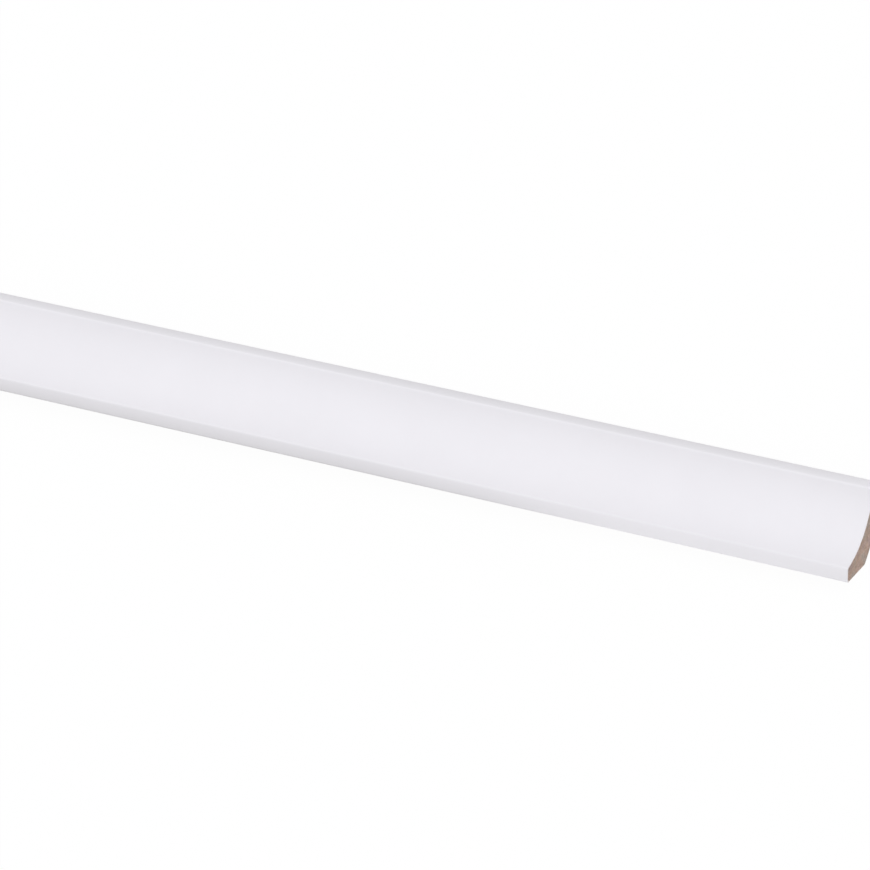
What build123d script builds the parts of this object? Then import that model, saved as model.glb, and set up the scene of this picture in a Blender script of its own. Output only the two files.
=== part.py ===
from build123d import *
import os
from math import sqrt

# Cove moulding: one length of stock, machined from a board strip and sawn square at both ends.
# It lies on its flat back, with the cove upwards. X runs along the stock, Y across it and Z up,
# and the origin is the middle of the back. The section is the same on both sides of Y = 0.

# Driving dimensions in millimetres
stock_length = 2400.0
leg = 22.0                # reach along the wall, and along the ceiling, to the corner of the room
board_thickness = 12.0    # from the back to the two edges of the cove
lip_width = 4.8           # straight across the lip, between the cove and the moulding's outer edge
lip_crown = 0.2           # how far the lip bulges out of that straight line
cove_depth = 3.7          # below a straight edge laid across the two edges of the cove
outer_edge_round = 0.6    # where a lip turns into its seat
cove_edge_round = 0.6     # where a lip turns into the cove
back_corner_round = 1.5   # where a seat turns into the back

# Lips and seats stand at 45 degrees to the back, because the moulding bridges a square corner
half_width = leg / sqrt(2)
lip_rise = lip_width / sqrt(2)
outer_edge_height = board_thickness - lip_rise
lip_reach = lip_rise / 2 - lip_crown / sqrt(2)

back_corner = (half_width - outer_edge_height, 0)
outer_edge = (half_width, outer_edge_height)
lip_middle = (half_width - lip_reach, board_thickness - lip_reach)
cove_edge = (half_width - lip_rise, board_thickness)
cove_bottom = (0, board_thickness - cove_depth)


def mirrored(point):
    """The same point on the other side of the section's middle line."""
    return (-point[0], point[1])


def corners_at(sketch, point):
    """The two corners of the section at a point and at its mirror image."""
    places = [Vector(*point), Vector(*mirrored(point))]
    return [sketch.vertices().sort_by_distance(place)[0] for place in places]


def cove_section():
    """The section in its own plane: flat back, two seats, two crowned lips and the hollow between."""
    outline = Wire([
        Line(mirrored(back_corner), back_corner),
        Line(back_corner, outer_edge),
        ThreePointArc(outer_edge, lip_middle, cove_edge),
        ThreePointArc(cove_edge, cove_bottom, mirrored(cove_edge)),
        ThreePointArc(mirrored(cove_edge), mirrored(lip_middle), mirrored(outer_edge)),
        Line(mirrored(outer_edge), mirrored(back_corner)),
    ])
    section = Sketch() + Face(outline)
    rounds = [
        (outer_edge, outer_edge_round),
        (cove_edge, cove_edge_round),
        (back_corner, back_corner_round),
    ]
    for point, radius in rounds:
        section = fillet(corners_at(section, point), radius)
    return section


cove_moulding = extrude(Plane.YZ * cove_section(), amount=stock_length / 2, both=True)
cove_moulding.label = "cove_moulding"

os.makedirs("parts", exist_ok=True)
export_step(cove_moulding, "parts/cove_moulding.step")
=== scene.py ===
# %% [markdown]
# A cove moulding is the slim strip that closes the corner between a wall and a ceiling. This one is
# a strip of fibreboard, machined to a hollow face between two narrow lips, and wrapped in a white
# decor foil. Where it has been sawn to length, the bare brown board shows.
#
# The frame comes first. It is the measured model of the strip, lying on its flat back: X runs along
# the strip, Y across it and Z up, in metres. Everything below is fitted to it and never the other
# way round.

# %% Load the frame
import math

import bpy
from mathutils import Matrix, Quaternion, Vector


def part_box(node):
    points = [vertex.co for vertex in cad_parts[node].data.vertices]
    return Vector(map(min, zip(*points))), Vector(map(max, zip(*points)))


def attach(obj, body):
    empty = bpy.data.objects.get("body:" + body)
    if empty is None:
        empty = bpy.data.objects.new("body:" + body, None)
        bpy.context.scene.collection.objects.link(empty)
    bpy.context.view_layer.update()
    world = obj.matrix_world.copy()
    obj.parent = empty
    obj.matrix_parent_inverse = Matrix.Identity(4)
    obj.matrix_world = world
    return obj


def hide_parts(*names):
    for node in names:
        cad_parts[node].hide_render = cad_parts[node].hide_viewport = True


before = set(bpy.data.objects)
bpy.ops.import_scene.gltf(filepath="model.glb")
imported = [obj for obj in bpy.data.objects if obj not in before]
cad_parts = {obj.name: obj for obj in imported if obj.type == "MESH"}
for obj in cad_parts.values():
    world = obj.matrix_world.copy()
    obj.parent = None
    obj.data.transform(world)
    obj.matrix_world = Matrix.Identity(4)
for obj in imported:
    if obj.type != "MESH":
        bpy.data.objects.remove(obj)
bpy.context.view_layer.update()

lowest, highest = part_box("cove_moulding")
half_length = highest.x
print("strip in the frame, mm:", [round(1000 * side, 2) for side in highest - lowest])

# %% [markdown]
# The camera stands where the photographer's did. The picture was taken from far away with a long
# lens, so the two long edges of the strip hardly run together. It looks down on the face from in
# front, near the sawn end, and it is turned about its own line of sight, which is why the strip
# runs downhill in the picture. Blender measures a camera by place and rotation, and both follow
# from five facts that mean something to a photographer: what it looks at, from how far, from
# which side, from how high, and how much it is turned.

# %% Camera
PICTURE_LENS = 185.9           # mm, on Blender's 36 mm wide sensor
CAMERA_DISTANCE = 1.3385       # m, from the point in the middle of the picture
CAMERA_SIDE = 63.15            # degrees round from the front, towards the sawn end
CAMERA_HEIGHT = 60.48          # degrees above the floor
CAMERA_TURN = -47.36           # degrees about the line of sight
AIM_FROM_END = 0.1403          # m from the sawn end to the middle of the picture
AIM_ACROSS = 0.0014            # m from the strip's middle line
AIM_UP = 0.006                 # m above the floor
SEEN_FROM, SEEN_TO = 0.05, 100.0         # m from the camera

side, height = math.radians(CAMERA_SIDE), math.radians(CAMERA_HEIGHT)
towards_camera = Vector((
    math.sin(side) * math.cos(height),
    -math.cos(side) * math.cos(height),
    math.sin(height),
))
aim = Vector((half_length - AIM_FROM_END, AIM_ACROSS, AIM_UP))

camera_data = bpy.data.cameras.new("camera")
camera_data.lens = PICTURE_LENS
camera_data.clip_start, camera_data.clip_end = SEEN_FROM, SEEN_TO
camera = bpy.data.objects.new("camera", camera_data)
camera.rotation_mode = "QUATERNION"
camera.location = aim + CAMERA_DISTANCE * towards_camera
turn = Quaternion((0, 0, 1), math.radians(CAMERA_TURN))
camera.rotation_quaternion = towards_camera.to_track_quat("Z", "Y") @ turn
bpy.context.scene.collection.objects.link(camera)
bpy.context.scene.camera = camera
print("camera at, mm:", [round(1000 * place, 1) for place in camera.location])

# %% [markdown]
# The section is the one shape that a moulding has. A toolmaker draws it as straight faces and
# arcs: the flat back, two seats that lie on wall and ceiling, two lips, and the cove as one arc.
# Each corner is softened by a small round. The sizes below are the moulding's own, in
# millimetres. Every point also carries the direction that the surface faces there, as an angle
# from straight up, because the foil needs to know which way is outwards.

# %% Section of the moulding
LEG = 22.0                # reach along wall and ceiling to the corner of the room
BOARD = 12.0              # thickness of the board, from the back to the edges of the cove
LIP = 4.8                 # straight across the lip, from edge to edge
LIP_CROWN = 0.2           # how far the lip bulges out of that straight line
COVE_DEPTH = 3.7          # below a straight edge laid across the two edges of the cove
OUTER_EDGE_ROUND = 0.6
COVE_EDGE_ROUND = 0.6
BACK_CORNER_ROUND = 1.5
SEAT_FACES = 135          # degrees from straight up
BACK_FACES = 180
FEWEST_STEPS = 6          # along an arc, so that the smallest round still reads as round

half_width = LEG / math.sqrt(2)
lip_rise = LIP / math.sqrt(2)
cove_edge_y = half_width - lip_rise
outer_edge_z = BOARD - lip_rise
cove_radius = (cove_edge_y ** 2 + COVE_DEPTH ** 2) / (2 * COVE_DEPTH)
cove_centre = (0.0, BOARD - COVE_DEPTH + cove_radius)
# The lip's crown is an arc through its two edges
lip_radius = (LIP ** 2 / 4 + LIP_CROWN ** 2) / (2 * LIP_CROWN)
lip_sink = (lip_radius - LIP_CROWN) / math.sqrt(2)
lip_centre = (half_width - lip_rise / 2 - lip_sink, outer_edge_z + lip_rise / 2 - lip_sink)
print("cove and lip radius, mm:", round(cove_radius, 2), round(lip_radius, 2))


def direction(angle):
    """Where a surface faces: angle 0 is straight up and 90 degrees is outwards along Y."""
    return (math.sin(math.radians(angle)), math.cos(math.radians(angle)))


def arc(centre, radius, first, last, spacing):
    """Points round a centre, each with the angle that the surface faces. A hollow has a minus radius."""
    steps = max(FEWEST_STEPS, math.ceil(abs(radius * math.radians(last - first)) / spacing))
    angles = [first + (last - first) * step / steps for step in range(steps + 1)]
    return [
        (centre[0] + radius * direction(angle)[0], centre[1] + radius * direction(angle)[1], angle)
        for angle in angles
    ]


def straight(start, end, angle, spacing):
    """Points along a flat face, its two ends left out."""
    steps = max(1, math.ceil(math.dist(start[:2], end[:2]) / spacing))
    shares = [step / steps for step in range(1, steps)]
    return [
        (start[0] + share * (end[0] - start[0]), start[1] + share * (end[1] - start[1]), angle)
        for share in shares
    ]


def meeting_point(centre_a, radius_a, centre_b, radius_b):
    """Where two circles cross, on the right as seen from the first centre towards the second."""
    gap = math.dist(centre_a, centre_b)
    along = ((centre_b[0] - centre_a[0]) / gap, (centre_b[1] - centre_a[1]) / gap)
    reach = (gap ** 2 + radius_a ** 2 - radius_b ** 2) / (2 * gap)
    aside = math.sqrt(radius_a ** 2 - reach ** 2)
    return (
        centre_a[0] + reach * along[0] + aside * along[1],
        centre_a[1] + reach * along[1] - aside * along[0],
    )


def outer_round_centre():
    """Centre of the round that touches the lip's arc and the seat, which falls inwards at 45 degrees."""
    reach = lip_radius - OUTER_EDGE_ROUND
    out = (half_width - outer_edge_z - lip_centre[0] + lip_centre[1]) / math.sqrt(2) - OUTER_EDGE_ROUND
    up = math.sqrt(reach ** 2 - out ** 2)
    return (lip_centre[0] + (out + up) / math.sqrt(2), lip_centre[1] + (up - out) / math.sqrt(2))


def angle_from(centre, place):
    """The angle from straight up at which a place lies, seen from a centre."""
    return math.degrees(math.atan2(place[0] - centre[0], place[1] - centre[1]))


def half_section(spacing):
    """One side of the section, from the middle of the cove over lip and seat to the middle of the back."""
    edge = meeting_point(lip_centre, lip_radius - COVE_EDGE_ROUND, cove_centre, cove_radius + COVE_EDGE_ROUND)
    cove_end = -angle_from(edge, cove_centre)
    lip_start = angle_from(lip_centre, edge)
    outer = outer_round_centre()
    lip_end = angle_from(lip_centre, outer)
    corner_reach = BACK_CORNER_ROUND * math.tan(math.radians((BACK_FACES - SEAT_FACES) / 2))
    corner = (half_width - outer_edge_z - corner_reach, BACK_CORNER_ROUND)
    cove = arc(cove_centre, -cove_radius, 0, -cove_end, spacing)
    cove_edge = arc(edge, COVE_EDGE_ROUND, -cove_end, lip_start, spacing)
    lip = arc(lip_centre, lip_radius, lip_start, lip_end, spacing)
    outer_edge = arc(outer, OUTER_EDGE_ROUND, lip_end, SEAT_FACES, spacing)
    back_corner = arc(corner, BACK_CORNER_ROUND, SEAT_FACES, BACK_FACES, spacing)
    seat = straight(outer_edge[-1], back_corner[0], SEAT_FACES, spacing)
    back = straight(back_corner[-1], (0, 0), BACK_FACES, spacing) + [(0, 0, BACK_FACES)]
    return cove[:-1] + cove_edge[:-1] + lip[:-1] + outer_edge + seat + back_corner + back


# %% [markdown]
# The foil is glued round the face and just turns the outer edge on to each seat, where nobody sees
# its edge. It is only 0.4 mm thick, yet it has to be modelled, because its cut edge is the thin
# pale line round the brown board at the sawn end. So the section is split in two closed outlines
# that share one line: the foil, and the board inside it.

# %% Outlines of foil and board
FOIL_THICKNESS = 0.4      # mm
FOIL_LAP = 1.0            # mm of seat that the foil covers, from the outer edge
POINT_SPACING = 0.3       # mm between points round the section


def both_sides(half):
    """A half section and its mirror image, as one run from the left end of the half to its right end."""
    return [(-y, z, -angle) for y, z, angle in reversed(half[1:])] + half


def sunk(points, depth):
    """The same run of points, moved into the stock."""
    return [(y - depth * direction(angle)[0], z - depth * direction(angle)[1]) for y, z, angle in points]


half = half_section(POINT_SPACING)
lap_end = half_width - FOIL_LAP / math.sqrt(2)
covered = [
    point for point in half
    if point[2] < SEAT_FACES or (point[2] == SEAT_FACES and point[0] > lap_end)
]
bare = half[len(covered):]
face = both_sides(covered)
under_foil = sunk(face, FOIL_THICKNESS)
back_run = [point[:2] for point in bare] + [(-y, z) for y, z, angle in reversed(bare[:-1])]
board_outline = under_foil + [face[-1][:2]] + back_run + [face[0][:2]]
print("points round the foil and the board:", 2 * len(face), len(board_outline))

# %% [markdown]
# A moulding is its section drawn along a line, and that is a rule, so Geometry Nodes make it. The
# machining of the real strip works alike: one set of cutters, and as much length as the machine
# is fed. The tree takes a flat section at one end of the strip, extrudes it to the other end, and
# closes the first end with a flipped copy. Then it roughens the two ends a little, along X only.
# The saw leaves the foil's cut edge slightly ragged in just that way, and a point that slides
# along X stays on the surface of the strip. The extrusion takes three steps, with a short one at
# each end, so that no face that touches a ragged end reaches far along the strip.

# %% Helpers for nodes
def add(tree, kind, inputs=None, **settings):
    """One node with its settings. Each input is a socket, by name or number, and its value or link."""
    node = tree.nodes.new(kind)
    for name, value in settings.items():
        setattr(node, name, value)
    for socket, value in (inputs or {}).items():
        if isinstance(value, bpy.types.NodeSocket):
            tree.links.new(value, node.inputs[socket])
        else:
            node.inputs[socket].default_value = value
    return node


def new_geometry_tree(name, sizes):
    """An empty Geometry Nodes tree with named inputs: floats, and a material at the end."""
    tree = bpy.data.node_groups.new(name, "GeometryNodeTree")
    tree.is_modifier = True
    sockets = tree.interface
    sockets.new_socket("Geometry", in_out="INPUT", socket_type="NodeSocketGeometry")
    for size, value in sizes.items():
        sockets.new_socket(size, in_out="INPUT", socket_type="NodeSocketFloat").default_value = value
    sockets.new_socket("Material", in_out="INPUT", socket_type="NodeSocketMaterial")
    sockets.new_socket("Geometry", in_out="OUTPUT", socket_type="NodeSocketGeometry")
    return tree


# %% The tree that draws a section along the strip
END_STEP = 0.01           # m along X, of the short steps of the extrusion
SHARP_ANGLE = 0.6         # radians. An edge that turns by more is shaded sharp
SAME_PLACE = 1e-6         # m. Points closer than this are one
NICK_FROM, NICK_TO = 0.45, 0.8           # values of the noise at which a nick starts and is deepest


def draw_tree():
    """Draws a flat section from one end of the strip to the other, and closes it."""
    tree = new_geometry_tree("draw section along X", {
        "Length": 2 * half_length, "End Step": END_STEP, "Ragged Depth": 0.0, "Ragged Size": 0.001,
        "Sharp Angle": SHARP_ANGLE, "Seed": 0.0,
    })
    given = add(tree, "NodeGroupInput").outputs
    to_low_end = add(tree, "ShaderNodeMath", {0: given["Length"], 1: -0.5}, operation="MULTIPLY").outputs[0]
    low_end = add(tree, "GeometryNodeTransform", {
        "Geometry": given["Geometry"],
        "Translation": add(tree, "ShaderNodeCombineXYZ", {"X": to_low_end}).outputs[0],
    }).outputs[0]
    end_steps = add(tree, "ShaderNodeMath", {0: given["End Step"], 1: 2.0}, operation="MULTIPLY").outputs[0]
    long_step = add(tree, "ShaderNodeMath", {
        0: given["Length"], 1: end_steps,
    }, operation="SUBTRACT").outputs[0]
    # The direction must be linked. An offset that is only typed in gives way to the faces' normals
    ahead = add(tree, "ShaderNodeCombineXYZ", {"X": 1.0}).outputs[0]
    drawn, front = low_end, None
    for step in (given["End Step"], long_step, given["End Step"]):
        extrude = add(tree, "GeometryNodeExtrudeMesh", {
            "Mesh": drawn, "Offset": ahead, "Offset Scale": step, "Individual": False,
        })
        if front:
            tree.links.new(front, extrude.inputs["Selection"])
        drawn, front = extrude.outputs["Mesh"], extrude.outputs["Top"]
    closing = add(tree, "GeometryNodeFlipFaces", {"Mesh": low_end}).outputs[0]
    both = add(tree, "GeometryNodeJoinGeometry")
    tree.links.new(drawn, both.inputs[0])
    tree.links.new(closing, both.inputs[0])
    closed = add(tree, "GeometryNodeMergeByDistance", {
        "Geometry": both.outputs[0], "Distance": SAME_PLACE,
    }).outputs[0]

    # Each end is nicked inwards, against the way it faces
    place = add(tree, "GeometryNodeInputPosition").outputs[0]
    along = add(tree, "ShaderNodeSeparateXYZ", {0: place}).outputs["X"]
    outwards = add(tree, "ShaderNodeMath", {0: along}, operation="SIGN").outputs[0]
    scale = add(tree, "ShaderNodeMath", {0: 1.0, 1: given["Ragged Size"]}, operation="DIVIDE").outputs[0]
    noise = add(tree, "ShaderNodeTexNoise", {
        "Vector": place, "W": given["Seed"], "Scale": scale, "Detail": 3.0, "Roughness": 0.6,
    }, noise_dimensions="4D").outputs[0]
    nicks = add(tree, "ShaderNodeMapRange", {
        "Value": noise, "From Min": NICK_FROM, "From Max": NICK_TO,
        "To Min": 0.0, "To Max": given["Ragged Depth"],
    }).outputs[0]
    slide = add(tree, "ShaderNodeMath", {0: nicks, 1: outwards}, operation="MULTIPLY").outputs[0]
    inwards = add(tree, "ShaderNodeMath", {0: slide, 1: -1.0}, operation="MULTIPLY").outputs[0]
    ragged = add(tree, "GeometryNodeSetPosition", {
        "Geometry": closed, "Offset": add(tree, "ShaderNodeCombineXYZ", {"X": inwards}).outputs[0],
    }).outputs[0]

    # Faces are shaded smooth, except across edges that turn by more than the sharp angle
    smooth = add(tree, "GeometryNodeSetShadeSmooth", {
        0: ragged, "Shade Smooth": True,
    }, domain="FACE").outputs[0]
    is_sharp = add(tree, "FunctionNodeCompare", {
        0: add(tree, "GeometryNodeInputMeshEdgeAngle").outputs[0], 1: given["Sharp Angle"],
    }, operation="GREATER_THAN").outputs[0]
    creased = add(tree, "GeometryNodeSetShadeSmooth", {
        0: smooth, "Selection": is_sharp, "Shade Smooth": False,
    }, domain="EDGE").outputs[0]
    real = add(tree, "GeometryNodeRealizeInstances", {"Geometry": creased}).outputs[0]
    painted = add(tree, "GeometryNodeSetMaterial", {
        "Geometry": real, "Material": given["Material"],
    }).outputs[0]
    add(tree, "NodeGroupOutput", {"Geometry": painted})
    return tree


DRAW = draw_tree()
print("the drawing tree has", len(DRAW.nodes), "nodes")

# %% [markdown]
# A finish is made from what the real surface is. One function turns the colours, which are
# written as they look on a screen, into the linear values that a renderer works with, and two
# turn a real size in millimetres into the scale of a pattern.

# %% Colour and scale
WAVES_IN_TAU = 20         # waves that Blender's wave pattern has in a length of tau, at a scale of 1


def colour(code):
    """A screen colour such as F1F0F5 as linear red, green, blue and alpha."""
    shares = [int(code[place:place + 2], 16) / 255 for place in (0, 2, 4)]
    linear = [share / 12.92 if share <= 0.04045 else ((share + 0.055) / 1.055) ** 2.4 for share in shares]
    return linear + [1.0]


def per(size_mm):
    """The scale at which a noise pattern's features are about this many millimetres."""
    return 1000 / size_mm


def wave_every(spacing_mm):
    """The scale at which a wave pattern's waves are this many millimetres apart."""
    return math.tau * per(spacing_mm) / WAVES_IN_TAU


def new_material(name):
    """A material, the tree to add its nodes to, and its shader."""
    material = bpy.data.materials.new(name)
    material.use_nodes = True
    return material, material.node_tree, material.node_tree.nodes["Principled BSDF"]


print("light brown in linear light:", [round(share, 3) for share in colour("B29888")])

# %% [markdown]
# The foil is decor foil: a plastic or resin-soaked paper film, printed white and satin-lacquered.
# The eye reads it by a soft sheen along the lips, a white that leans faintly to lilac, and a very
# slight unevenness, because the fibres of the board show through as a fine orange peel. Its cut
# edge is duller than its face, because the saw lays open the paper and the glue under the white.

# %% White decor foil
FOIL_WHITES = ("EFEDF0", "F3F1F4")
FOIL_CUT = "D2C8C4"
CLOUD_SIZE = 18.0         # mm, of the faint changes in the white
PEEL_SIZE = 1.2           # mm
PEEL_DEPTH = 0.00003      # m
SAWN_FACING = 0.7         # least share of X in the direction of a surface that counts as sawn


def faces_along_strip(tree):
    """1 on the sawn ends and 0 elsewhere, told by which way the surface faces."""
    facing = add(tree, "ShaderNodeNewGeometry").outputs["Normal"]
    along = add(tree, "ShaderNodeSeparateXYZ", {0: facing}).outputs["X"]
    steep = add(tree, "ShaderNodeMath", {0: along}, operation="ABSOLUTE").outputs[0]
    return add(tree, "ShaderNodeMath", {0: steep, 1: SAWN_FACING}, operation="GREATER_THAN").outputs[0]


def white_foil():
    """Satin white film with a fine orange peel, and a duller cut edge."""
    material, tree, shader = new_material("white_decor_foil")
    place = add(tree, "ShaderNodeTexCoord").outputs["Object"]
    cloud = add(tree, "ShaderNodeTexNoise", {
        "Vector": place, "Scale": per(CLOUD_SIZE), "Detail": 2.0,
    }).outputs[0]
    peel = add(tree, "ShaderNodeTexNoise", {
        "Vector": place, "Scale": per(PEEL_SIZE), "Detail": 2.0,
    }).outputs[0]
    white = add(tree, "ShaderNodeMix", {
        0: cloud, 6: colour(FOIL_WHITES[0]), 7: colour(FOIL_WHITES[1]),
    }, data_type="RGBA").outputs[2]
    edged = add(tree, "ShaderNodeMix", {
        0: faces_along_strip(tree), 6: white, 7: colour(FOIL_CUT),
    }, data_type="RGBA").outputs[2]
    gloss = add(tree, "ShaderNodeMapRange", {"Value": peel, "To Min": 0.5, "To Max": 0.6}).outputs[0]
    bump = add(tree, "ShaderNodeBump", {"Height": peel, "Strength": 0.12, "Distance": PEEL_DEPTH}).outputs[0]
    for socket, value in {"Base Color": edged, "Roughness": gloss, "Normal": bump}.items():
        tree.links.new(value, shader.inputs[socket])
    shader.inputs["IOR"].default_value = 1.46
    shader.inputs["Specular IOR Level"].default_value = 0.3
    return material


# %% [markdown]
# The board is medium density fibreboard: wood fibres and resin pressed flat. On a sawn end the
# fibres show as short level dashes with a dark speck of bark here and there, in patches that lean
# to grey, tan or pink, and the blade leaves shallow curved tracks. On the back and the bare seats
# the cutters leave one even brown with fine waves square to the feed. The board is made a little
# darker in a thin band towards its back. All of this follows real sizes, so each pattern's scale is
# worked out from millimetres. The colours go on in layers, as a painter would put them: the grey
# ground first, and the specks last.

# %% Bare fibreboard
FIBRE_THICKNESS = 0.25    # mm. Real ones are finer, but this is the finest that shows
FIBRE_STRETCH = 5.0       # how many times as long as thick a fibre is
PATCH_SIZE = 5.0          # mm
PATCHES_FROM = (0.068, 0.042, 0.006)     # m, which puts the patches where the sawn end has them
MACHINED_HUE = 0.45       # one value of the patches' noise, between grey and tan, for back and seats
SHADE_SIZE = 3.0          # mm
SPECK_SIZE = 0.5          # mm
DARKER_BACK_BAND = 0.0018       # m above the back, within which the board is made darker
SAW_TRACK = 0.9           # mm from one track of the saw to the next
BLADE_RADIUS = 0.125      # m
BLADE_ASIDE = 0.03        # m from the strip's middle line to the blade's centre
CUTTER_WAVE = 1.6         # mm of feed between two cuts
RELIEF_DEPTH = 0.00005    # m
GREY_GROUND = "A29990"


def bare_fibreboard():
    """Level fibres in patches of hue on the sawn ends, and an even brown on back and seats."""
    material, tree, shader = new_material("bare_fibreboard")
    place = add(tree, "ShaderNodeTexCoord").outputs["Object"]
    up = add(tree, "ShaderNodeSeparateXYZ", {0: place}).outputs["Z"]
    sawn = faces_along_strip(tree)

    # Fibres lie level and are several times as long as thick, so their noise is squeezed in Z
    level = add(tree, "ShaderNodeMapping", {"Vector": place, "Scale": (1.0, 1.0, FIBRE_STRETCH)}).outputs[0]
    fibre = add(tree, "ShaderNodeTexNoise", {
        "Vector": level, "Scale": per(FIBRE_STRETCH * FIBRE_THICKNESS), "Detail": 5.0, "Roughness": 0.7,
    }).outputs[0]
    moved = add(tree, "ShaderNodeMapping", {"Vector": place, "Location": PATCHES_FROM}).outputs[0]
    patchy = add(tree, "ShaderNodeTexNoise", {
        "Vector": moved, "Scale": per(PATCH_SIZE), "Detail": 1.0,
    }).outputs[0]
    hue = add(tree, "ShaderNodeMix", {0: sawn, 2: MACHINED_HUE, 3: patchy}, data_type="FLOAT").outputs[0]
    shade = add(tree, "ShaderNodeTexNoise", {
        "Vector": place, "Scale": per(SHADE_SIZE), "Detail": 2.0,
    }).outputs[0]
    bark = add(tree, "ShaderNodeTexNoise", {
        "Vector": place, "Scale": per(SPECK_SIZE), "Detail": 1.0,
    }).outputs[0]

    # Each layer: its pattern, two values of it, how much the layer covers at each, and its colour
    layers = (
        (hue, 0.36, 0.5, 0.0, 1.0, "B29888"),            # tan
        (hue, 0.5, 0.64, 0.0, 1.0, "A8928D"),            # pink
        (shade, 0.35, 0.65, 0.0, 0.5, "8A7669"),         # soft darker shades
        (fibre, 0.34, 0.5, 0.8, 0.0, "6F5E51"),          # dark fibres
        (fibre, 0.52, 0.68, 0.0, 0.6, "C4B0A1"),         # pale fibres
        (up, 0.0, DARKER_BACK_BAND, 0.45, 0.0, "87776B"),      # darker towards the back
        (bark, 0.72, 0.8, 0.0, 0.7, "6A5A4D"),           # specks of bark
    )
    painted = colour(GREY_GROUND)
    for pattern, low, high, at_low, at_high, code in layers:
        covers = add(tree, "ShaderNodeMapRange", {
            "Value": pattern, "From Min": low, "From Max": high, "To Min": at_low, "To Max": at_high,
        }).outputs[0]
        painted = add(tree, "ShaderNodeMix", {
            0: covers, 6: painted, 7: colour(code),
        }, data_type="RGBA").outputs[2]

    # The blade's centre stands a blade's radius above the floor, so its tracks are shallow arcs
    around_blade = add(tree, "ShaderNodeMapping", {
        "Vector": place, "Location": (0.0, BLADE_ASIDE, -BLADE_RADIUS), "Scale": (0.0, 1.0, 1.0),
    }).outputs[0]
    tracks = add(tree, "ShaderNodeTexWave", {
        "Vector": around_blade, "Scale": wave_every(SAW_TRACK),
    }, wave_type="RINGS").outputs["Fac"]
    rough_end = add(tree, "ShaderNodeMath", {0: fibre, 1: tracks}, operation="ADD").outputs[0]
    machined = add(tree, "ShaderNodeTexWave", {
        "Vector": place, "Scale": wave_every(CUTTER_WAVE),
    }, wave_type="BANDS").outputs["Fac"]
    relief = add(tree, "ShaderNodeMix", {0: sawn, 2: machined, 3: rough_end}, data_type="FLOAT").outputs[0]
    bump = add(tree, "ShaderNodeBump", {
        "Height": relief, "Strength": 0.4, "Distance": RELIEF_DEPTH,
    }).outputs[0]
    for socket, value in {"Base Color": painted, "Normal": bump}.items():
        tree.links.new(value, shader.inputs[socket])
    shader.inputs["Roughness"].default_value = 0.85
    shader.inputs["Specular IOR Level"].default_value = 0.3
    return material


# %% Torn wood fibre
TORN_BROWNS = ("A8927F", "D6BFAA")
TORN_TONE_SIZE = 0.8      # mm


def torn_fibre():
    """The fibres that the saw tore up are paler than the board, because their resin is gone."""
    material, tree, shader = new_material("torn_wood_fibre")
    place = add(tree, "ShaderNodeTexCoord").outputs["Object"]
    tone = add(tree, "ShaderNodeTexNoise", {
        "Vector": place, "Scale": per(TORN_TONE_SIZE), "Detail": 2.0,
    }).outputs[0]
    share = add(tree, "ShaderNodeMapRange", {"Value": tone, "From Min": 0.35, "From Max": 0.65}).outputs[0]
    brown = add(tree, "ShaderNodeMix", {
        0: share, 6: colour(TORN_BROWNS[0]), 7: colour(TORN_BROWNS[1]),
    }, data_type="RGBA").outputs[2]
    tree.links.new(brown, shader.inputs["Base Color"])
    shader.inputs["Roughness"].default_value = 0.9
    shader.inputs["Specular IOR Level"].default_value = 0.2
    return material


# %% [markdown]
# Each piece starts as its flat section, standing across the strip at X = 0. The foil's section is
# a row of small four-sided faces, from its outer side to its inner side, so that its ragged cut
# edge has no long thin triangles. The board's cut is flat, and one many-sided face will do. The
# modifier draws the section along the strip, and the result is copied into a plain mesh, because
# a finished piece should not depend on a live modifier. Inputs are set by the identifier that the
# tree gave them.

# %% Make a piece from its tree
def set_inputs(modifier, values):
    """Sets a modifier's inputs by their names in the tree."""
    for item in modifier.node_group.interface.items_tree:
        if item.in_out == "INPUT" and item.name in values:
            modifier[item.identifier] = values[item.name]


def plain_piece(name, start, tree, values):
    """A mesh object made by a tree from a starting mesh, with no modifier left on it."""
    maker = bpy.data.objects.new(name + " start", start)
    bpy.context.scene.collection.objects.link(maker)
    modifier = maker.modifiers.new("make", "NODES")
    modifier.node_group = tree
    set_inputs(modifier, values)
    evaluated = maker.evaluated_get(bpy.context.evaluated_depsgraph_get())
    made = bpy.data.meshes.new_from_object(evaluated)
    bpy.data.objects.remove(maker)
    made.name = name
    piece = bpy.data.objects.new(name, made)
    bpy.context.scene.collection.objects.link(piece)
    print(name, "has", len(made.polygons), "faces")
    return piece


def section_mesh(name, points, faces):
    """A flat section at X = 0, in metres, from points in millimetres. Its faces look along +X."""
    mesh = bpy.data.meshes.new(name)
    mesh.from_pydata([(0.0, y / 1000, z / 1000) for y, z in points], [], faces)
    if mesh.polygons[0].normal.x < 0:
        mesh.flip_normals()
    return mesh


# %% Foil and board
NAP = 0.00012             # m that the board's sawn face lies behind the foil's cut edge
RAGGED_DEPTH = 0.0001     # m
RAGGED_SIZE = 0.002       # m along the cut edge

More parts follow.
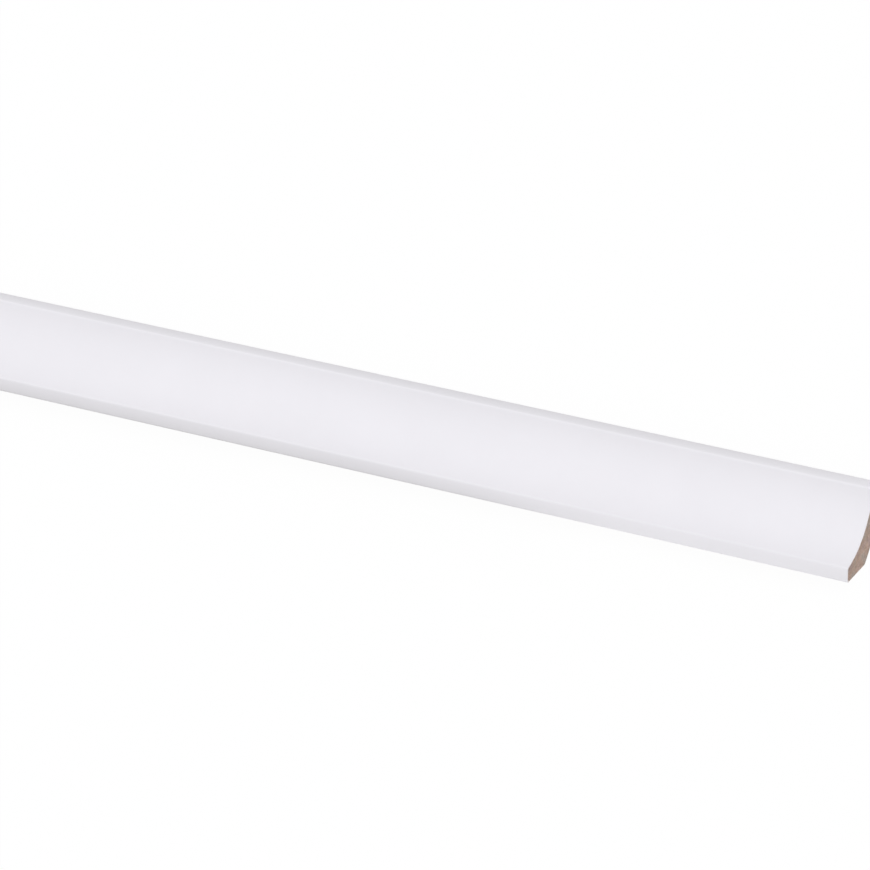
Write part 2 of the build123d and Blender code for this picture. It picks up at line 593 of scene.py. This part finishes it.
outer = [point[:2] for point in face]
last = len(outer) - 1
band = [(place, place + 1, 2 * last - place, 2 * last + 1 - place) for place in range(last)]
foil_section = section_mesh("foil section", outer + under_foil[::-1], band)
board_section = section_mesh("board section", board_outline, [tuple(range(len(board_outline)))])
foil = plain_piece("white_foil", foil_section, DRAW, {
    "Length": 2 * half_length, "End Step": END_STEP, "Ragged Depth": RAGGED_DEPTH,
    "Ragged Size": RAGGED_SIZE, "Sharp Angle": SHARP_ANGLE, "Seed": 3.0, "Material": white_foil(),
})
board = plain_piece("fibreboard", board_section, DRAW, {
    "Length": 2 * (half_length - NAP), "End Step": END_STEP, "Ragged Depth": 0.0,
    "Ragged Size": RAGGED_SIZE, "Sharp Angle": SHARP_ANGLE, "Seed": 5.0, "Material": bare_fibreboard(),
})
for piece in (foil, board):
    corners = [[round(1000 * value, 2) for value in piece.bound_box[corner]] for corner in (0, 6)]
    print(piece.name, "reaches, mm:", *corners)

# %% [markdown]
# A saw doesn't cut fibreboard cleanly. It tears up the ends of fibres, which stay on the cut as a
# fine nap. There are hundreds of them, each one a sliver, so Geometry Nodes scatter them: points
# on the two sawn faces, a three-sided sliver on each point, and a direction that is partly random
# and partly towards the middle of the section, so that none sticks out of the foil. The board
# itself is a hair shorter than the foil, and the nap fills that gap.

# %% The tree that scatters torn fibres
TORN = {
    "Density": 2.5e6,          # fibres on a square metre
    "Fibre Length": 0.0006,    # m
    "Fibre Width": 0.00006,    # m
    "Lift": 0.15,              # share of its direction that points out of the cut
    "Middle Height": 0.005,    # m above the floor
    "Reach": half_length,
    "Seed": 7.0,
}
CHANCE = (0.0, 1.0, 0.4)  # how far chance swings a fibre along X, Y and Z. They lie mostly level
SHORTEST = 0.4            # of the full length
BEND_SIZE = 0.4           # mm


def nap_tree():
    """Scatters slivers over the faces that look along X."""
    tree = new_geometry_tree("torn fibres on sawn faces", TORN)
    given = add(tree, "NodeGroupInput").outputs
    normal = add(tree, "GeometryNodeInputNormal").outputs[0]
    facing = add(tree, "ShaderNodeSeparateXYZ", {0: normal}).outputs["X"]
    steep = add(tree, "ShaderNodeMath", {0: facing}, operation="ABSOLUTE").outputs[0]
    is_sawn = add(tree, "FunctionNodeCompare", {
        0: steep, 1: SAWN_FACING,
    }, operation="GREATER_THAN").outputs[0]
    seed = add(tree, "FunctionNodeFloatToInt", {0: given["Seed"]}).outputs[0]
    points = add(tree, "GeometryNodeDistributePointsOnFaces", {
        "Mesh": given["Geometry"], "Selection": is_sawn, "Density": given["Density"], "Seed": seed,
    }).outputs["Points"]
    foot = add(tree, "ShaderNodeMath", {0: given["Fibre Width"], 1: 0.5}, operation="MULTIPLY").outputs[0]
    sliver = add(tree, "GeometryNodeMeshCone", {
        "Vertices": 3, "Side Segments": 2, "Radius Top": 0.0,
        "Radius Bottom": foot, "Depth": given["Fibre Length"],
    }).outputs["Mesh"]

    # A fibre points to the middle of the section, swung by chance and lifted out of the cut
    place = add(tree, "GeometryNodeInputPosition").outputs[0]
    axes = add(tree, "ShaderNodeSeparateXYZ", {0: place}).outputs
    middle = add(tree, "ShaderNodeCombineXYZ", {"X": axes["X"], "Z": given["Middle Height"]}).outputs[0]
    inwards = add(tree, "ShaderNodeVectorMath", {
        0: add(tree, "ShaderNodeVectorMath", {0: middle, 1: place}, operation="SUBTRACT").outputs[0],
    }, operation="NORMALIZE").outputs[0]
    chance = add(tree, "FunctionNodeRandomValue", {
        0: [-swing for swing in CHANCE], 1: CHANCE, "Seed": seed,
    }, data_type="FLOAT_VECTOR").outputs[0]
    lying = add(tree, "ShaderNodeVectorMath", {0: inwards, 1: chance}, operation="ADD").outputs[0]
    outwards = add(tree, "ShaderNodeMath", {0: axes["X"]}, operation="SIGN").outputs[0]
    lift = add(tree, "ShaderNodeMath", {0: outwards, 1: given["Lift"]}, operation="MULTIPLY").outputs[0]
    raised = add(tree, "ShaderNodeVectorMath", {
        0: add(tree, "ShaderNodeVectorMath", {0: lying}, operation="NORMALIZE").outputs[0],
        1: add(tree, "ShaderNodeCombineXYZ", {"X": lift}).outputs[0],
    }, operation="ADD").outputs[0]
    turned = add(tree, "FunctionNodeAlignRotationToVector", {"Vector": raised}, axis="Z").outputs[0]
    size = add(tree, "FunctionNodeRandomValue", {
        2: SHORTEST, 3: 1.0, "Seed": seed,
    }, data_type="FLOAT").outputs[1]
    fibres = add(tree, "GeometryNodeInstanceOnPoints", {
        "Points": points, "Instance": sliver, "Rotation": turned, "Scale": size,
    }).outputs["Instances"]
    real = add(tree, "GeometryNodeRealizeInstances", {"Geometry": fibres}).outputs[0]

    # A little noise bends the slivers, and the plane of the foil's cut edge stops them
    bend = add(tree, "ShaderNodeTexNoise", {"Vector": place, "Scale": per(BEND_SIZE)}).outputs["Color"]
    centred = add(tree, "ShaderNodeVectorMath", {
        0: bend, 1: (0.5, 0.5, 0.5),
    }, operation="SUBTRACT").outputs[0]
    sway = add(tree, "ShaderNodeVectorMath", {
        0: centred, "Scale": given["Fibre Width"],
    }, operation="SCALE").outputs[0]
    swayed = add(tree, "ShaderNodeVectorMath", {0: place, 1: sway}, operation="ADD").outputs[0]
    ends = add(tree, "ShaderNodeSeparateXYZ", {0: swayed}).outputs
    minus_reach = add(tree, "ShaderNodeMath", {
        0: given["Reach"], 1: -1.0,
    }, operation="MULTIPLY").outputs[0]
    held = add(tree, "ShaderNodeClamp", {0: ends["X"], 1: minus_reach, 2: given["Reach"]}).outputs[0]
    kept = add(tree, "ShaderNodeCombineXYZ", {"X": held, "Y": ends["Y"], "Z": ends["Z"]}).outputs[0]
    bent = add(tree, "GeometryNodeSetPosition", {"Geometry": real, "Position": kept}).outputs[0]
    painted = add(tree, "GeometryNodeSetMaterial", {
        "Geometry": bent, "Material": given["Material"],
    }).outputs[0]
    add(tree, "NodeGroupOutput", {"Geometry": painted})
    return tree


# %% Nap on the sawn ends
nap = plain_piece("torn_fibres", board.data.copy(), nap_tree(), {**TORN, "Material": torn_fibre()})

# %% [markdown]
# A copy of the board for other programs keeps its colours in one flat square picture, and a map
# says which part of the picture goes where. The strip is 200 times as long as it is thick, so a
# map made by rule of thumb would leave the sawn end a handful of dots. This one is laid out as
# for a printed carton: the two sawn ends side by side at the top, with room for all of
# their detail, and below them the long faces, unrolled.

# %% Flat map of the board
ENDS_FROM = 0.79          # share of the picture's height at which the sawn ends start
LONG_FACES_TO = 0.77      # share of the picture's height up to which the long faces go
ACROSS_SHARE = 0.48       # of the picture's width, for one sawn end
ALONG_SHARE = 0.98        # of the picture's width, for the length of the strip
LEFT_MIDDLE, RIGHT_MIDDLE = 0.25, 0.75   # of the picture's width, for the low end and the high end


def unroll(piece, outline):
    """Lays out the map: a point's place follows from where it lies round the outline and along X."""
    walked = [0.0]
    for first, second in zip(outline, outline[1:] + outline[:1]):
        walked.append(walked[-1] + math.dist(first, second))
    mesh = piece.data
    spots = [(1000 * vertex.co.y, 1000 * vertex.co.z) for vertex in mesh.vertices]
    rounds = [min(range(len(outline)), key=lambda place: math.dist(outline[place], spot)) for spot in spots]
    width = max(spot[0] for spot in spots) - min(spot[0] for spot in spots)
    scale = ACROSS_SHARE / width
    places = mesh.uv_layers.new(name="OFBake").data
    for face in mesh.polygons:
        corners = [(corner, mesh.loops[corner].vertex_index) for corner in face.loop_indices]
        crosses_seam = {0, len(outline) - 1} <= {rounds[vertex] for _, vertex in corners}
        for corner, vertex in corners:
            across, up = spots[vertex]
            if abs(face.normal.x) > SAWN_FACING:
                middle = RIGHT_MIDDLE if face.normal.x > 0 else LEFT_MIDDLE
                places[corner].uv = (middle + scale * across, ENDS_FROM + scale * up)
            else:
                step = len(outline) if crosses_seam and rounds[vertex] == 0 else rounds[vertex]
                along = 0.5 + ALONG_SHARE * mesh.vertices[vertex].co.x / (2 * half_length)
                places[corner].uv = (along, LONG_FACES_TO * walked[step] / walked[-1])
    print("map of", piece.name, "has", len(places), "corners")


unroll(board, board_outline)

# %% Seat the pieces on the frame
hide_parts("cove_moulding")
for piece, slot in ((foil, "white_foil"), (board, "raw_fibreboard"), (nap, "raw_fibreboard")):
    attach(piece, "root")

# %% [markdown]
# White on white needs care. A photographer lays such a strip on a ground that looks white in the
# picture but throws little light back, so that the lips, which lean towards the ground, come out
# a little darker than the cove. The ground behind the strip is the darkest, and a paper in front
# is lighter. A lit white card in front of the last stretch lifts the near lip there, and one past
# the end lifts the cut. In Blender a surface can look white and still throw back little light:
# Light Path tells the rays that see a surface, straight, mirrored or through glass, from those
# that only carry light from one thing to the next. What is seen is white with a trace of real
# shading, so the strip keeps a faint shadow.

# %% Ground, paper and cards
GROUND_REACH = 40.0       # m
SHEET_STEP = 0.0001       # m from one sheet down to the next, so that no two surfaces fight
CARD_SIDE = 0.6           # m, from the strip's middle line
CARD_FROM_END = 0.1       # m of the strip that the card in front reaches past
CARD_PAST_END = 0.02      # m that the card past the end reaches on
CARD_GLOW = 0.3           # light of its own, as if a small lamp stood over it
GROUND_BOUNCE, PAPER_BOUNCE, CARD_BOUNCE = "84827F", "A8A5A0", "FFFFFF"
WHITE_SHARE = 0.97        # of plain white in what is seen
WHITE = (1, 1, 1, 1)


def seen_directly(tree):
    """1 for rays that see a surface, straight, mirrored or through glass, and 0 for light that it throws."""
    path = add(tree, "ShaderNodeLightPath").outputs
    straight_or_mirrored = add(tree, "ShaderNodeMath", {
        0: path["Is Camera Ray"], 1: path["Is Glossy Ray"],
    }, operation="MAXIMUM").outputs[0]
    return add(tree, "ShaderNodeMath", {
        0: straight_or_mirrored, 1: path["Is Transmission Ray"],
    }, operation="MAXIMUM").outputs[0]


def white_ground(name, bounce, glow=0.0):
    """A ground that looks white, and throws back only the light that its bounce colour and glow allow."""
    material, tree, shader = new_material(name)
    seen = seen_directly(tree)
    face_colour = add(tree, "ShaderNodeMix", {
        0: seen, 6: colour(bounce), 7: WHITE,
    }, data_type="RGBA").outputs[2]
    own_light = add(tree, "ShaderNodeMapRange", {"Value": seen, "To Min": glow, "To Max": 0.0}).outputs[0]
    for socket, value in {"Base Color": face_colour, "Emission Strength": own_light}.items():
        tree.links.new(value, shader.inputs[socket])
    shader.inputs["Roughness"].default_value = 0.9
    shader.inputs["Specular IOR Level"].default_value = 0.0
    shader.inputs["Emission Color"].default_value = WHITE
    plain_white = add(tree, "ShaderNodeEmission", {"Color": WHITE, "Strength": 1.0}).outputs[0]
    share = add(tree, "ShaderNodeMath", {0: seen, 1: WHITE_SHARE}, operation="MULTIPLY").outputs[0]
    mixed = add(tree, "ShaderNodeMixShader", {0: share, 1: shader.outputs[0], 2: plain_white}).outputs[0]
    tree.links.new(mixed, tree.nodes["Material Output"].inputs["Surface"])
    return material


def flat_sheet(name, from_x, to_x, from_y, to_y, steps_down, material):
    """A level rectangle that belongs to the studio and not to the object."""
    z = -steps_down * SHEET_STEP
    mesh = bpy.data.meshes.new(name)
    corners = [(from_x, from_y, z), (to_x, from_y, z), (to_x, to_y, z), (from_x, to_y, z)]
    mesh.from_pydata(corners, [], [(0, 1, 2, 3)])
    mesh.materials.append(material)
    sheet = bpy.data.objects.new(name, mesh)
    bpy.context.scene.collection.objects.link(sheet)
    print(name, "is, m:", round(to_x - from_x, 2), "x", round(to_y - from_y, 2))


card_start = half_length - CARD_FROM_END
card_end = half_length + CARD_PAST_END
ground_white = white_ground("white_ground", GROUND_BOUNCE)
paper_white = white_ground("white_paper", PAPER_BOUNCE)
card_white = white_ground("white_card", CARD_BOUNCE, CARD_GLOW)
flat_sheet("ground", -GROUND_REACH, GROUND_REACH, -GROUND_REACH, GROUND_REACH, 3, ground_white)
flat_sheet("paper", -GROUND_REACH, card_start, -CARD_SIDE, 0.0, 2, paper_white)
flat_sheet("card", card_start, half_length, -CARD_SIDE, 0.0, 1, card_white)
flat_sheet("end card", half_length, card_end, -CARD_SIDE, CARD_SIDE, 1, card_white)

# %% [markdown]
# The light is a plain overcast sky and one broad lamp. A lamp 40 degrees wide leaves no hard
# edge anywhere. It stands towards the sawn end, so the cut gets light too, and a little behind
# the strip, so the cove is brightest just below its middle in the picture and falls off gently to
# both sides.

# %% Sky and lamp
SKY_STRENGTH = 0.55       # as light on the strip
SKY_SEEN = 1.0            # in what the camera and mirrors see, where 1 is white
LAMP_STRENGTH = 1.56      # W per square metre
LAMP_COLOUR = "F9FAFF"
LAMP_FROM = Vector((0.45, 0.047, 0.89))
LAMP_WIDTH = 40           # degrees

world = bpy.data.worlds.new("overcast sky")
world.use_nodes = True
bpy.context.scene.world = world
sky = world.node_tree
background = sky.nodes["Background"]
background.inputs["Color"].default_value = WHITE
strength = add(sky, "ShaderNodeMix", {
    0: seen_directly(sky), 2: SKY_STRENGTH, 3: SKY_SEEN,
}, data_type="FLOAT").outputs[0]
sky.links.new(strength, background.inputs["Strength"])

lamp_data = bpy.data.lights.new("broad lamp", "SUN")
lamp_data.energy = LAMP_STRENGTH
lamp_data.color = colour(LAMP_COLOUR)[:3]
lamp_data.angle = math.radians(LAMP_WIDTH)
lamp = bpy.data.objects.new("broad lamp", lamp_data)
lamp.rotation_mode = "QUATERNION"
lamp.rotation_quaternion = LAMP_FROM.to_track_quat("Z", "Y")
bpy.context.scene.collection.objects.link(lamp)
bpy.context.scene.view_settings.view_transform = "Standard"
print("lamp above the horizon, degrees:", round(math.degrees(math.asin(LAMP_FROM.normalized().z)), 1))
